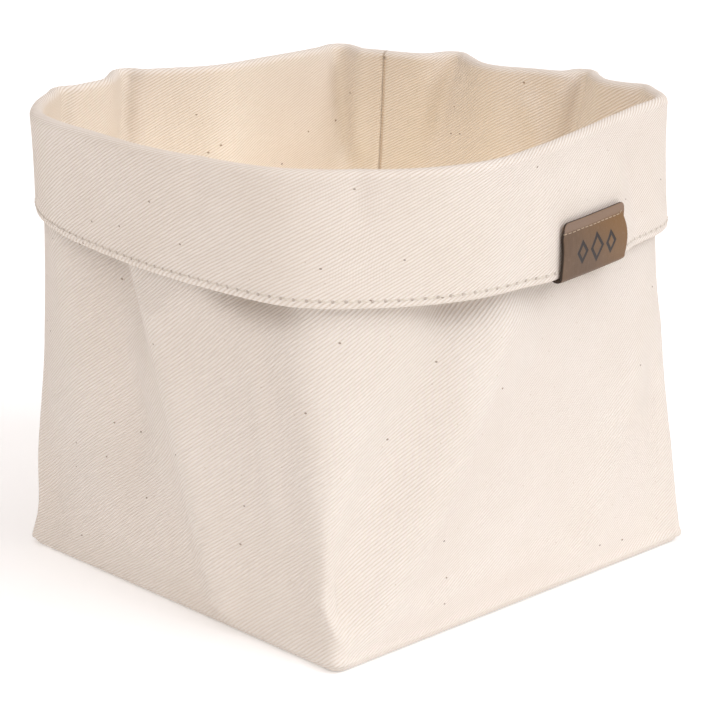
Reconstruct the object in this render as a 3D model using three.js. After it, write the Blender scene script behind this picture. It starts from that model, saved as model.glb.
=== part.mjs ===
import * as THREE from "three";

// Fabric storage bin: an open-topped, lined cloth bag on a square base. The top is turned
// outwards as a cuff, and a leather label is looped round the hem of the cuff.
// Millimetres, +Z up. The origin is the middle of the underside of the base, and the
// label faces -Y.

// Base and height
const BASE_SIDE = 200;
const BASE_CORNER = 3;
const RIM_TOP = 193.5;

// Cloth, thread and the air left between neighbouring pieces
const CLOTH = 0.6;
const THREAD = 0.4;
const GAP = 0.3;
const LAYER_STEP = CLOTH + THREAD + 2 * GAP; // outer cloth to lining, middle to middle
const ALLOWANCE = 9; // cloth turned in over the edge of the base panel
const BASE_SEAM_IN = 2.2; // from the edge of the base panel to its row of stitches

// Cuff
const ROLL = 1.0; // radius of the outer cloth where it turns over the rim, to its middle
const CUFF_DEPTH = 51;
const CUFF_DEPTH_SWING = 3.5; // deeper towards the label, shallower opposite
const CUFF_DEEPEST = 0.24; // where, as a share of the way round
const CUFF_FLARE = 1.6;
const TOPSTITCH_UP = 3.6; // from the lower edge of the cuff to its row of stitches
const HEM_JOIN_UP = 2.6; // from that edge to the hidden row that joins the two cloths

// Label
const LABEL_WIDTH = 47;
const LABEL_UP = 20.5;
const LABEL_FOLD_UP = 1.0; // height of the middle of the label's fold above the hem
const LABEL_MIDDLE = 0.331; // share of the way round
const LABEL_LEAN = 0.00014; // how far that share falls for each mm up, so the label hangs straight
const LABEL_CORNER = 2.5;
const LABEL_STITCH_DOWN = 4.2; // from the top edge of the label to its row of stitches
const LABEL_BULGE = 2.6; // the cuff stands this much further off the wall at the label
const LEATHER = 1.4;

// The mouth, seen from above. It starts at the side seam in the rear corner and runs
// clockwise: the rear corner leans in, the front corner is broad and round.
const MOUTH = [
  [88, 70], [94, 50], [101, 38], [99, 16], [101, -10], [107, -31], [103, -56],
  [101, -76], [90, -91], [70, -96], [46, -103], [20, -111], [-10, -119], [-40, -123],
  [-64, -115], [-84, -98], [-100, -76], [-107, -46], [-110, -10], [-107, 28],
  [-104, 56], [-98, 76], [-85, 92], [-68, 104], [-46, 110], [-20, 117], [4, 109],
  [28, 101], [56, 97], [81, 93],
];

const LOOP = 4 * BASE_SIDE; // length of the wall strips, once round the bag
const ROLL_CENTRE_Z = RIM_TOP - CLOTH / 2 - LAYER_STEP - ROLL;
const HALF_SEAM = GAP / 2 / LOOP; // a strip's end stops this far short of the seam
const LABEL_HALF = LABEL_WIDTH / 2 / LOOP;

// Heights in the base, from the floor up: panel, allowance, thread, lining panel
const ALLOWANCE_Z = CLOTH + GAP + CLOTH / 2;
const OUTER_BASE_SEAM_Z = ALLOWANCE_Z + CLOTH / 2 + GAP + THREAD / 2;
const LINING_FLOOR = OUTER_BASE_SEAM_Z + THREAD / 2 + GAP;
const LINING_BASE_SEAM_Z = 4.4;

// Faces and layers of the cuff, measured outwards from the middle of the outer cloth
const CUFF_FACE = 2 * ROLL + LAYER_STEP + CLOTH / 2;
const CUFF_BACK = 2 * ROLL - CLOTH / 2;
const CUFF_BETWEEN = 2 * ROLL + LAYER_STEP / 2;
const LABEL_FRONT = CUFF_FACE + 2 * GAP + THREAD + LEATHER / 2;
const LABEL_BACK = CUFF_BACK - 2 * GAP - THREAD - LEATHER / 2;

const rim = new THREE.CatmullRomCurve3(
  MOUTH.map(([x, y]) => new THREE.Vector3(x, y, 0)),
  true,
  "centripetal",
);
rim.arcLengthDivisions = 2000;

const smoothstep = (t) => {
  const c = Math.min(Math.max(t, 0), 1);
  return c * c * (3 - 2 * c);
};

// Distance between two places on the loop, as a share of the way round
const awayFrom = (s, place) => Math.abs(((s - place + 1.5) % 1) - 0.5);

// A rounded square, s = 0 to 1 clockwise from the middle of the rear corner. Every inset
// gives its corners the same share of the loop, so loops of different size line up.
function squareLoop(s, inset) {
  const CORNER_SHARE = 0.05; // of one side, at each end
  const radius = Math.max(BASE_CORNER - inset, 1.2);
  const straight = BASE_SIDE / 2 - inset - radius;
  const along = (((s % 1) + 1) % 1) * 4;
  const side = Math.floor(along);
  const f = along - side;
  const p = new THREE.Vector2();
  if (f < CORNER_SHARE || f > 1 - CORNER_SHARE) {
    const near = f < 0.5;
    const turn = ((near ? f : f - 1) / CORNER_SHARE) * (Math.PI / 4);
    const middle = near ? Math.PI / 4 : -Math.PI / 4;
    const angle = middle - turn;
    const centreY = near ? straight : -straight;
    p.set(straight + radius * Math.cos(angle), centreY + radius * Math.sin(angle));
  } else {
    const t = (f - CORNER_SHARE) / (1 - 2 * CORNER_SHARE);
    p.set(straight + radius, straight * (1 - 2 * t));
  }
  return p.rotateAround(new THREE.Vector2(), (-side * Math.PI) / 2);
}

// The middle of the outer cloth at height z: the square base passes into the mouth
function wallPoint(s, z) {
  const w = THREE.MathUtils.clamp(z / ROLL_CENTRE_Z, 0, 1);
  const foot = squareLoop(s, CLOTH / 2);
  const top = rim.getPointAt(((s % 1) + 1) % 1);
  return foot.lerp(new THREE.Vector2(top.x, top.y), w);
}

function wallOutward(s, z) {
  const STEP = 0.002;
  const along = wallPoint(s + STEP, z).sub(wallPoint(s - STEP, z)).normalize();
  return new THREE.Vector2(-along.y, along.x);
}

// A point n outside the middle of the outer cloth
function offWall(s, z, n) {
  const p = wallPoint(s, z).addScaledVector(wallOutward(s, z), n);
  return new THREE.Vector3(p.x, p.y, z);
}

const cuffDepth = (s) =>
  CUFF_DEPTH + CUFF_DEPTH_SWING * Math.cos(2 * Math.PI * (s - CUFF_DEEPEST));
const hemZ = (s) => RIM_TOP - cuffDepth(s);

// How far the cuff stands off beyond its roll at height z
function standOff(s, z) {
  const down = (ROLL_CENTRE_Z - z) / (ROLL_CENTRE_Z - hemZ(s));
  const flare = CUFF_FLARE * Math.max(down, 0) ** 1.5;
  const beside = 1 - smoothstep((awayFrom(s, LABEL_MIDDLE) - LABEL_HALF - 0.004) / 0.02);
  const below = smoothstep((ROLL_CENTRE_Z - z) / (cuffDepth(s) - LABEL_UP - 6));
  return flare + LABEL_BULGE * beside * below;
}

// One step of a cloth's path through its section: a point in the middle of the cloth, and
// the direction that one of its faces points in
const step = (s, z, n, faceN, faceZ) => {
  const out = wallOutward(s, z);
  return {
    at: offWall(s, z, n),
    face: new THREE.Vector3(out.x * faceN, out.y * faceN, faceZ),
  };
};

// Up the wall, over the rim and down to the hem, at a distance from the outer cloth that
// is measured into the bag
function overTheRim(s, inside, bottomZ, hemUp) {
  const radius = ROLL + inside;
  const path = [];
  const BODY_LEVELS = 7;
  const TURNS = 6;
  const CUFF_LEVELS = 5;
  for (let i = 0; i < BODY_LEVELS; i++) {
    const z = THREE.MathUtils.lerp(bottomZ, ROLL_CENTRE_Z - 4, i / (BODY_LEVELS - 1));
    path.push(step(s, z, -inside, 1, 0));
  }
  for (let i = 0; i <= TURNS; i++) {
    const a = (i / TURNS) * Math.PI;
    const turned = step(s, ROLL_CENTRE_Z, ROLL - radius * Math.cos(a), Math.cos(a), -Math.sin(a));
    turned.at.z += radius * Math.sin(a);
    path.push(turned);
  }
  const hem = hemZ(s) + hemUp;
  for (let i = 1; i <= CUFF_LEVELS; i++) {
    const z = THREE.MathUtils.lerp(ROLL_CENTRE_Z, hem, i / CUFF_LEVELS);
    path.push(step(s, z, ROLL + radius + standOff(s, z), -1, 0));
  }
  return path;
}

// Closed outline of a band of the given thickness round a path
function bandOutline(path, thickness) {
  const sideOf = (sign) =>
    path.map(({ at, face }) => at.clone().addScaledVector(face, (sign * thickness) / 2));
  return [...sideOf(1), ...sideOf(-1).reverse()];
}

// A solid through a row of outlines with equal numbers of points. In an outline, point i
// stands opposite point (last - i), which is how the two end caps are filled.
function solidThrough(outlines, joinedUp) {
  const count = outlines[0].length;
  const corners = [];
  const quad = (a, b, c, d) => corners.push(a, b, c, a, c, d);
  const rows = joinedUp ? outlines.length : outlines.length - 1;
  for (let r = 0; r < rows; r++) {
    const here = outlines[r];
    const next = outlines[(r + 1) % outlines.length];
    for (let i = 0; i < count; i++) {
      const j = (i + 1) % count;
      quad(here[i], here[j], next[j], next[i]);
    }
  }
  if (!joinedUp) {
    const first = outlines[0];
    const last = outlines[outlines.length - 1];
    for (let i = 0; i < count / 2 - 1; i++) {
      quad(first[count - 1 - i], first[count - 2 - i], first[i + 1], first[i]);
      quad(last[i], last[i + 1], last[count - 2 - i], last[count - 1 - i]);
    }
  }
  return facingOut(corners);
}

function facingOut(corners) {
  let volume = 0;
  const normal = new THREE.Vector3();
  for (let i = 0; i < corners.length; i += 3) {
    volume += corners[i].dot(normal.crossVectors(corners[i + 1], corners[i + 2]));
  }
  const ordered = volume < 0 ? [...corners].reverse() : corners;
  const geometry = new THREE.BufferGeometry().setFromPoints(ordered);
  geometry.computeVertexNormals();
  return geometry;
}

// Stations round the loop: close together at the four corners of the base
function stations() {
  const PER_SIDE = [0, 0.025, 0.05, 0.1, 0.16, 0.22, 0.28, 0.34, 0.4, 0.46, 0.54, 0.6, 0.66,
    0.72, 0.78, 0.84, 0.9, 0.95, 0.975];
  const all = [];
  for (let side = 0; side < 4; side++) {
    PER_SIDE.forEach((f) => all.push((side + f) / 4));
  }
  return all;
}

// The same stations for a strip whose two ends meet at the seam
function stripStations() {
  return [HALF_SEAM, ...stations().slice(1), 1 - HALF_SEAM];
}

// The outer cloth: an allowance lying on the base panel, then up, over and down to the hem
function outerWall() {
  const outlines = stripStations().map((s) => {
    const inner = squareLoop(s, ALLOWANCE);
    const corner = squareLoop(s, CLOTH / 2);
    const out = wallOutward(s, ALLOWANCE_Z);
    const path = [
      { at: new THREE.Vector3(inner.x, inner.y, ALLOWANCE_Z), face: new THREE.Vector3(0, 0, -1) },
      {
        at: new THREE.Vector3(corner.x, corner.y, ALLOWANCE_Z),
        face: new THREE.Vector3(out.x, out.y, -1),
      },
      ...overTheRim(s, 0, 8, 1.2 + CLOTH / 2),
    ];
    return bandOutline(path, CLOTH);
  });
  return solidThrough(outlines, false);
}

// The lining: up, over the outer cloth's roll, down outside it and in under its edge
function liningWall() {
  const outlines = stripStations().map((s) => {
    const path = overTheRim(s, LAYER_STEP, LINING_FLOOR, 1.7);
    const hem = hemZ(s);
    const n = 2 * ROLL + LAYER_STEP + standOff(s, hem);
    path.push(step(s, hem + 0.9, n - 0.2, -0.8, 0.6));
    path.push(step(s, hem + CLOTH / 2, n - 1.1, 0, 1));
    return bandOutline(path, CLOTH);
  });
  return solidThrough(outlines, false);
}

// A flat panel on the square loop
function basePanel(inset, z) {
  const outline = new THREE.Shape(stations().map((s) => squareLoop(s, inset)));
  const geometry = new THREE.ExtrudeGeometry(outline, { depth: CLOTH, bevelEnabled: false });
  return geometry.translate(0, 0, z);
}

// Thread laid along a path; each step of the path carries the two directions across it
function threadSolid(path, joinedUp) {
  const AROUND = 6;
  const outlines = path.map(({ at, u, v }) =>
    Array.from({ length: AROUND }, (_, i) => {
      const a = ((i + 0.5) / AROUND) * 2 * Math.PI;
      return at
        .clone()
        .addScaledVector(u, (THREAD / 2) * Math.cos(a))
        .addScaledVector(v, (THREAD / 2) * Math.sin(a));
    }),
  );
  return solidThrough(outlines, joinedUp);
}

const UP = new THREE.Vector3(0, 0, 1);

// A row of stitches that runs round the bag at height zAt(s), n outside the outer cloth
function roundThread(places, joinedUp, zAt, nAt) {
  const path = places.map((s) => {
    const z = zAt(s);
    const out = wallOutward(s, z);
    return {
      at: offWall(s, z, nAt(s, z)),
      u: new THREE.Vector3(out.x, out.y, 0),
      v: UP,
    };
  });
  return threadSolid(path, joinedUp);
}

// A row of stitches round the cuff, a height above the hem and n off the outer cloth
function hemThread(up, n) {
  return roundThread(stations(), true, (s) => hemZ(s) + up, (s, z) => n + standOff(s, z));
}

// The row that joins the lining to the foot of its base, outside the lining
function liningBaseSeamThread() {
  return roundThread(stations(), true, () => LINING_BASE_SEAM_Z, () => -LAYER_STEP / 2);
}

// The row that joins the outer cloth to its base, on top of the allowance
function outerBaseSeamThread() {
  const path = stations().map((s) => {
    const p = squareLoop(s, BASE_SEAM_IN);
    const out = wallOutward(s, 0);
    return {
      at: new THREE.Vector3(p.x, p.y, OUTER_BASE_SEAM_Z),
      u: new THREE.Vector3(out.x, out.y, 0),
      v: UP,
    };
  });
  return threadSolid(path, true);
}

// The stitching of a side seam: between the two cloths, up the wall and over the rim
function sideSeamThread(mmFromSeam) {
  const s = (mmFromSeam / LOOP + 1) % 1;
  const middle = LAYER_STEP / 2;
  const ends = overTheRim(s, middle, 6, TOPSTITCH_UP + 1.6);
  const path = ends.map(({ at, face }) => {
    const out = wallOutward(s, Math.min(at.z, ROLL_CENTRE_Z));
    return { at, u: face, v: new THREE.Vector3(-out.y, out.x, 0) };
  });
  return threadSolid(path, false);
}

// Places across the label, close together at its two rounded corners
function labelStations(inset) {
  const shares = [-1, -0.97, -0.88, -0.6, -0.3, 0, 0.3, 0.6, 0.88, 0.97, 1];
  const half = LABEL_HALF - inset / LOOP;
  return shares.map((f) => LABEL_MIDDLE + f * half);
}

// The place at height z that stands straight above or below a place on the hem
const plumb = (s, z) => s - LABEL_LEAN * (z - hemZ(LABEL_MIDDLE));

// A strip of leather folded round the hem, one leaf outside the cuff and one behind it
function leatherLabel() {
  const TURNS = 6;
  const outlines = labelStations(0).map((s) => {
    const hem = hemZ(s);
    const edge = LABEL_WIDTH / 2 - awayFrom(s, LABEL_MIDDLE) * LOOP;
    const short = THREE.MathUtils.clamp(LABEL_CORNER - edge, 0, LABEL_CORNER);
    const rounded = LABEL_CORNER - Math.sqrt(LABEL_CORNER ** 2 - short ** 2);
    const top = hem + LABEL_UP - rounded;
    const turnZ = hem + LABEL_FOLD_UP;
    const off = standOff(s, hem);
    const radius = (LABEL_FRONT - LABEL_BACK) / 2;
    const path = [];
    const leaf = (z, n, faceN) => step(plumb(s, z), z, n + standOff(s, z), faceN, 0);
    for (const z of [top, (top + hem) / 2, hem + 2]) {
      path.push(leaf(z, LABEL_FRONT, -1));
    }
    for (let i = 0; i <= TURNS; i++) {
      const a = (i / TURNS) * Math.PI;
      const n = off + (LABEL_FRONT + LABEL_BACK) / 2 + radius * Math.cos(a);
      const turned = step(plumb(s, turnZ), turnZ, n, -Math.cos(a), Math.sin(a));
      turned.at.z -= radius * Math.sin(a);
      path.push(turned);
    }
    for (const z of [hem + 2, (top + hem) / 2, top]) {
      path.push(leaf(z, LABEL_BACK, 1));
    }
    return bandOutline(path, LEATHER);
  });
  return solidThrough(outlines, false);
}

// The two threads of the label's single row of stitches
function labelThread(n) {
  const zAt = (s) => hemZ(s) + LABEL_UP - LABEL_STITCH_DOWN;
  const places = labelStations(1.2).map((s) => plumb(s, zAt(s)));
  return roundThread(places, false, zAt, (s, z) => n + standOff(s, z));
}

const drill = new THREE.MeshStandardMaterial({ color: 0xeee2d6, roughness: 0.95 });
const lining = new THREE.MeshStandardMaterial({ color: 0xe9dac6, roughness: 0.95 });
const leather = new THREE.MeshStandardMaterial({ color: 0x5f4838, roughness: 0.55 });
const thread = new THREE.MeshStandardMaterial({ color: 0xf1e8da, roughness: 0.7 });

const bin = new THREE.Group();
bin.name = "fabric_storage_bin";

function add(name, geometry, material) {
  const mesh = new THREE.Mesh(geometry, material);
  mesh.name = name;
  bin.add(mesh);
}

const TO_THREAD = GAP + THREAD / 2; // from a face to the middle of the thread on it
const SEAM_SIDE = 1.2; // a side seam's stitches stand this far from where its ends meet

add("outer_wall", outerWall(), drill);
add("outer_base", basePanel(0, 0), drill);
add("lining_wall", liningWall(), lining);
add("lining_base", basePanel(CLOTH + LAYER_STEP + 2 * GAP, LINING_FLOOR), lining);
add("leather_label", leatherLabel(), leather);

add("hem_needle_thread", hemThread(TOPSTITCH_UP, CUFF_FACE + TO_THREAD), thread);
add("hem_bobbin_thread", hemThread(TOPSTITCH_UP, CUFF_BACK - TO_THREAD), thread);
add("hem_join_thread", hemThread(HEM_JOIN_UP, CUFF_BETWEEN), thread);
add("label_needle_thread", labelThread(LABEL_FRONT + LEATHER / 2 + TO_THREAD), thread);
add("label_bobbin_thread", labelThread(LABEL_BACK - LEATHER / 2 - TO_THREAD), thread);
add("outer_side_seam_thread", sideSeamThread(SEAM_SIDE), thread);
add("lining_side_seam_thread", sideSeamThread(-SEAM_SIDE), thread);
add("outer_base_seam_thread", outerBaseSeamThread(), thread);
add("lining_base_seam_thread", liningBaseSeamThread(), thread);

export default bin;
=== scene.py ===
import math

import bpy
import numpy as np
from mathutils import Matrix, Vector


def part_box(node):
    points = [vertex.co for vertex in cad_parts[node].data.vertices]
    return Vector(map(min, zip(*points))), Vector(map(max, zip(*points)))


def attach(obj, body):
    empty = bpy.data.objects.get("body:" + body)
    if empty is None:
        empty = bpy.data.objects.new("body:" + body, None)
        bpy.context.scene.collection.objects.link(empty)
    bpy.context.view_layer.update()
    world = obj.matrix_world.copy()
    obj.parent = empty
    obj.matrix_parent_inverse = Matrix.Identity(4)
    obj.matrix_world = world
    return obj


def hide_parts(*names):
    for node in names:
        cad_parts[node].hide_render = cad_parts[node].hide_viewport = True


# A lined cloth storage bin: two layers of heavy cotton drill on a square base, the top
# turned outwards as a cuff, and a leather label looped round the cuff's hem. Geometry is
# worked out in millimetres in the frame's axes and written to the meshes in metres. A
# place round the bag is a share s of the loop: 0 at the rear corner's seam, then
# clockwise seen from above through the right, front and left corners of the base.

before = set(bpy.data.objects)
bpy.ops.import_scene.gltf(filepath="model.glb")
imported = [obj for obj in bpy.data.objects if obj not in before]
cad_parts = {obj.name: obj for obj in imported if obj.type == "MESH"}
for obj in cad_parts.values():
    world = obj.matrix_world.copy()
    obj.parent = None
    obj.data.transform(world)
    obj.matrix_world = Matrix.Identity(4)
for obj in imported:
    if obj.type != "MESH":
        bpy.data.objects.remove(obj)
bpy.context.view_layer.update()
MM = 0.001


def node_box(node):
    low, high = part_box(node)
    return np.array(low) / MM, np.array(high) / MM


# ---------------------------------------------------------------- sizes, in millimetres
BASE_SIDE = float(node_box("outer_base")[1][0] * 2)
RIM_TOP = float(node_box("lining_wall")[1][2])
LABEL_LOW, LABEL_HIGH = node_box("leather_label")
FLOOR_PANEL_Z = float(node_box("lining_base")[0][2])
LOOP = 4 * BASE_SIDE

CLOTH = 0.6
SEAM_GROOVE = 1.3  # how far the side seams draw the cloth in
SEAM_HALF = 1.3
LAYER_STEP = 1.6  # outer cloth to lining, middle to middle
BASE_CORNER = 6.0
ROLL = 1.0  # radius of the outer cloth where it turns over the rim, to its middle
ROLL_CENTRE_Z = RIM_TOP - CLOTH / 2 - LAYER_STEP - ROLL
ALLOWANCE = 9.0

CUFF_DEPTH = 51.0
CUFF_DEPTH_SWING = 3.5
CUFF_DEEPEST = 0.24
CUFF_LIFT = 3.4  # the cuff is this much shallower at one place
CUFF_LIFTED = 0.735
CUFF_LIFT_REACH = 0.065
CUFF_FLAT_REACH = 0.06
CUFF_FLARE = 1.6
TOPSTITCH_UP = 3.1
STITCHES = 160
STITCH = 5.0  # from needle hole to needle hole

LABEL_MIDDLE = 0.331
LABEL_LEAN = 0.00014
LABEL_WIDTH = float(LABEL_HIGH[0] - LABEL_LOW[0])
LABEL_HALF = LABEL_WIDTH / 2 / LOOP
LABEL_UP = 22.4
LABEL_CORNER = 2.5
LABEL_FOLD_UP = 1.0
LABEL_BULGE = 2.6
LABEL_BELLY = 1.5
LABEL_STITCH_DOWN = 4.2
LEATHER = 1.4
LABEL_FRONT, LABEL_BACK = 5.3, 0.75  # middles of its two leaves, off the wall
THREAD = 0.42

# The mouth seen from above, from the seam round clockwise. Where the double cloth of the
# rim has buckled, two close points make the bend a tight one.
MOUTH = [
    (88.5, 70), (94.5, 52), (104, 45.5), (106, 41), (99, 20), (100.5, -6), (104.5, -24),
    (111.5, -29.5), (110, -35), (103, -56), (102.5, -70), (100.5, -77), (91, -90), (70, -96),
    (46, -103), (20, -111), (-10, -119), (-40, -123), (-64, -115), (-84, -98), (-100, -76),
    (-107, -46), (-110, -10), (-107, 28), (-104, 56), (-98, 76), (-86, 92), (-72, 104),
    (-63, 109.5), (-56, 108.5), (-33, 117), (-20, 123), (-15.5, 118), (4, 109), (28, 101),
    (56, 98.5), (78, 98.7), (85.5, 96.5),
]


# ------------------------------------------------------------------ curves and surfaces
def smooth(t):
    t = np.clip(t, 0.0, 1.0)
    return t * t * (3 - 2 * t)


def away_from(s, place):
    return np.abs((s - place + 1.5) % 1 - 0.5)


def closed_curve(points, per_span=40):
    """A centripetal Catmull-Rom curve through the points and back to the first."""
    pts = np.array(points, float)
    out = []
    for i in range(len(pts)):
        p0, p1, p2, p3 = (pts[(i + k) % len(pts)] for k in (-1, 0, 1, 2))
        t1 = np.linalg.norm(p1 - p0) ** 0.5
        t2 = t1 + np.linalg.norm(p2 - p1) ** 0.5
        t3 = t2 + np.linalg.norm(p3 - p2) ** 0.5
        t = np.linspace(t1, t2, per_span, endpoint=False)[:, None]
        a1 = (t1 - t) / t1 * p0 + t / t1 * p1
        a2 = (t2 - t) / (t2 - t1) * p1 + (t - t1) / (t2 - t1) * p2
        a3 = (t3 - t) / (t3 - t2) * p2 + (t - t2) / (t3 - t2) * p3
        b1 = (t2 - t) / t2 * a1 + t / t2 * a2
        b2 = (t3 - t) / (t3 - t1) * a2 + (t - t1) / (t3 - t1) * a3
        out.append((t2 - t) / (t2 - t1) * b1 + (t - t1) / (t2 - t1) * b2)
    return np.vstack(out)


MOUTH_CURVE = closed_curve(MOUTH)
KINK_REACH = 42.0  # how far down the wall a kink of the mouth is felt
KINK_WIDTH = 11.0
CORNER_SPREAD = 13.0  # the upright edges over the base corners round off over this much cloth


def along_closed(curve, s):
    """Points at the shares s of a closed curve's length."""
    ring = np.vstack([curve, curve[:1]])
    length = np.r_[0, np.cumsum(np.linalg.norm(np.diff(ring, axis=0), axis=1))]
    want = (np.asarray(s) % 1) * length[-1]
    return np.stack([np.interp(want, length, ring[:, k]) for k in range(2)], axis=-1)


def square_loop(s, inset):
    """The base's rounded square at the shares s, all insets in step with each other."""
    corner_share = 0.05
    radius = max(BASE_CORNER - inset, 1.2)
    straight = BASE_SIDE / 2 - inset - radius
    along = (np.asarray(s, float) % 1) * 4
    side = np.floor(along)
    f = along - side
    near = f < 0.5
    turn = np.where(near, f, f - 1) / corner_share * math.pi / 4
    angle = np.where(near, math.pi / 4, -math.pi / 4) - turn
    on_corner = (f < corner_share) | (f > 1 - corner_share)
    t = (f - corner_share) / (1 - 2 * corner_share)
    x = np.where(on_corner, straight + radius * np.cos(angle), straight + radius)
    y_corner = np.where(near, straight, -straight) + radius * np.sin(angle)
    y = np.where(on_corner, y_corner, straight * (1 - 2 * t))
    a = -side * math.pi / 2
    return np.stack([x * np.cos(a) - y * np.sin(a), x * np.sin(a) + y * np.cos(a)], axis=-1)


def cuff_depth(s):
    swing = CUFF_DEPTH_SWING * np.cos(2 * math.pi * (s - CUFF_DEEPEST))
    lift = np.exp(-((away_from(s, CUFF_LIFTED) / CUFF_LIFT_REACH) ** 2))
    return CUFF_DEPTH + swing - CUFF_LIFT * lift


def hem_z(s):
    return RIM_TOP - cuff_depth(s)


# ------------------------------------------------------------------------ the wall cloth
PULL_TO_START = 0.15
CORNER_NUB = 1.6
UNDER_CUFF_ROOM = 0.5
SLACK_ROUND = 0.006
SLACK_UP = 0.010
SETTLE_COLUMNS, SETTLE_ROWS = 208, 52
# Folds of the wall: (millimetres round the loop, height) at both ends, width, height.
# Positive folds stand out, negative ones are dents.
FOLDS = [
    ((556, 140), (548, 60), 16, 1.2),
    ((526, 154), (518, 80), 17, -9.5),
    ((484, 156), (464, 18), 11, 5.6),
    ((446, 106), (440, 50), 12, -2.0),
    ((431, 134), (431, 50), 4.5, 1.4),
    ((426, 132), (422, 26), 15, -3.6),
    ((515, 143), (506, 126), 11, -7.0),
    ((433, 144), (415, 142), 8.5, -7.8),
    ((336, 141), (300, 138), 10, -6.0),
    ((334, 136), (390, 30), 13, -6.0),
    ((306, 134), (366, 30), 16, 4.0),
    ((407, 25), (398, 17), 6, 2.3),
    ((226, 80), (262, 12), 9, 1.8),
    ((190, 95), (206, 10), 8, 1.2),
    ((211, 80), (222, 8), 7, -1.0),
    ((604, 95), (596, 8), 8, 1.0),
    ((588, 80), (580, 12), 8, -1.2),
    ((545, 60), (590, 20), 14, -2.0),
    ((120, 150), (90, 60), 12, -3.0),
    ((60, 140), (30, 40), 14, 2.4),
    ((700, 140), (670, 50), 12, -3.0),
    ((740, 130), (770, 40), 10, 2.4),
]


# Folds that run down from the buckled rim and shape the wall and the cuff alike.
RIM_FOLDS = [
    ((33, 190), (30, 158), 6, 2.6),
    ((72, 190), (80, 140), 15, -4.4),
    ((92, 176), (104, 148), 5, -1.8),
    ((114, 190), (112, 150), 6, 3.2),
    ((136, 190), (134, 150), 8, -2.2),
    ((157, 190), (155, 158), 5, 2.4),
    ((372, 192), (372, 180), 5, -1.1),
    ((440, 192), (441, 180), 5, -1.1),
    ((612, 190), (608, 160), 6, 2.2),
    ((636, 190), (634, 150), 9, -3.4),
    ((660, 190), (654, 155), 6, 3.4),
    ((698, 190), (704, 140), 18, -4.6),
    ((770, 190), (776, 150), 6, 3.6),
    ((787, 188), (786, 150), 6, -2.6),
]


def fold_offset(round_mm, z, folds):
    """How far the folds push the wall out at places round the loop and heights."""
    out = np.zeros(np.broadcast(round_mm, z).shape)
    for (r0, z0), (r1, z1), width, height in folds:
        dr, dz = r1 - r0, z1 - z0
        length = math.hypot(dr, dz)
        gap = (round_mm - r0 + LOOP / 2) % LOOP - LOOP / 2
        along = (gap * dr + (z - z0) * dz) / length
        across = (gap * dz - (z - z0) * dr) / length
        beyond = np.maximum(np.maximum(-along, along - length), 0)
        out += height * np.exp(-((across / width) ** 2) - (beyond / (1.6 * width)) ** 2)
    return out


def plan_point(s, z):
    """The middle of the outer cloth in plan: the square base passes into the mouth."""
    w = np.clip(np.asarray(z) / ROLL_CENTRE_Z, 0, 1)[..., None]
    mouth = along_closed(MOUTH_CURVE, s)
    around = KINK_WIDTH / LOOP * np.array([-1.5, -0.75, 0.75, 1.5])
    spread = smooth(np.asarray(z) / 80) * CORNER_SPREAD / LOOP
    square = sum(square_loop(s + k * spread, CLOTH / 2) for k in (-1, -0.5, 0, 0.5, 1)) / 5
    evened = (mouth + sum(along_closed(MOUTH_CURVE, s + step) for step in around)) / 5
    reach = np.exp((w - 1) * ROLL_CENTRE_Z / KINK_REACH)
    return square * (1 - w) + (evened + (mouth - evened) * reach) * w


def plan_outward(s, z):
    step = 0.0025
    along = plan_point(s + step, z) - plan_point(s - step, z)
    along /= np.linalg.norm(along, axis=-1, keepdims=True)
    return np.stack([-along[..., 1], along[..., 0]], axis=-1)


def off_wall(s, z, n):
    """A point n millimetres outside the unfolded wall."""
    s, z, n = np.broadcast_arrays(s, z, n)
    n = n + fold_offset((s % 1) * LOOP, z, RIM_FOLDS)
    flat = plan_point(s, z) + plan_outward(s, z) * n[..., None]
    return np.concatenate([flat, z[..., None].astype(float)], axis=-1)


def folded_wall(s, z):
    s, z = np.meshgrid(s, z)
    fade = smooth(z / 14) * smooth((ROLL_CENTRE_Z - z) / 10)
    corner = np.abs((s * 4 + 0.5) % 1 - 0.5) * BASE_SIDE
    nub = CORNER_NUB * np.exp(-((corner / 9) ** 2) - (z / 11) ** 2)
    ridge = 0.45 * np.exp(-(((z - 4.2) / 1.5) ** 2)) * (1 + 0.4 * np.sin(s * LOOP / 3.1))
    room = UNDER_CUFF_ROOM + 8 * smooth((hem_z(s) - 4 - z) / 24)
    fold = np.minimum(fold_offset(s * LOOP, z, FOLDS) * fade, room)
    return off_wall(s, z, fold + nub + ridge)


def loop_normals(flat):
    """Outward normals, in plan, of rows of points that run clockwise round the bag."""
    along = np.roll(flat, -1, axis=1) - np.roll(flat, 1, axis=1)
    along /= np.linalg.norm(along, axis=-1, keepdims=True)
    return np.stack([-along[..., 1], along[..., 0]], axis=-1)


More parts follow.
